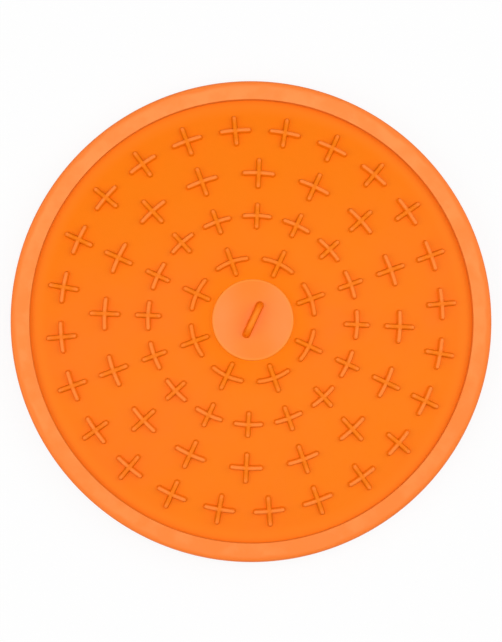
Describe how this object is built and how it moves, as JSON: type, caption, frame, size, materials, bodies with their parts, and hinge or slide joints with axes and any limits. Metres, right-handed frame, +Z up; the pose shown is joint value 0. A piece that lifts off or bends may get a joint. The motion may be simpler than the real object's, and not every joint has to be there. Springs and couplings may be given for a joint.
{
  "type": "lick mat",
  "caption": "Round domed rubber lick mat with a raised rim, rings of small crosses and a twist-locked suction cup with a finned knob.",
  "frame": {"origin": "on the axis of the mat, in the plane that the lip of the suction cup stands on", "axes": "+Z up, square to the surface that it stands on; +Y along the grip fin"},
  "size_m": [0.18, 0.18, 0.0224],
  "materials": {
    "floor_rubber": "soft moulded rubber with a low sheen",
    "rim_rubber": "firm matt rubber, paler than the floor",
    "knob_plastic": "smooth satin moulding, the rim's colour",
    "cup_rubber": "soft smooth rubber"
  },
  "bodies": {
    "mat": {"mat": "floor_rubber", "rim": "rim_rubber"},
    "cup": {"suction_cup": "cup_rubber"},
    "knob": {"knob": "knob_plastic"}
  },
  "joints": [
    {"name": "swivel", "type": "hinge", "parent": "mat", "child": "cup", "pos_m": [0, 0, 0.0115], "axis": [0, 0, 1], "continuous": true},
    {"name": "lock_turn", "type": "hinge", "parent": "cup", "child": "knob", "pos_m": [0, 0, 0.008], "axis": [0, 0, 1], "range_deg": [0, 90]}
  ]
}
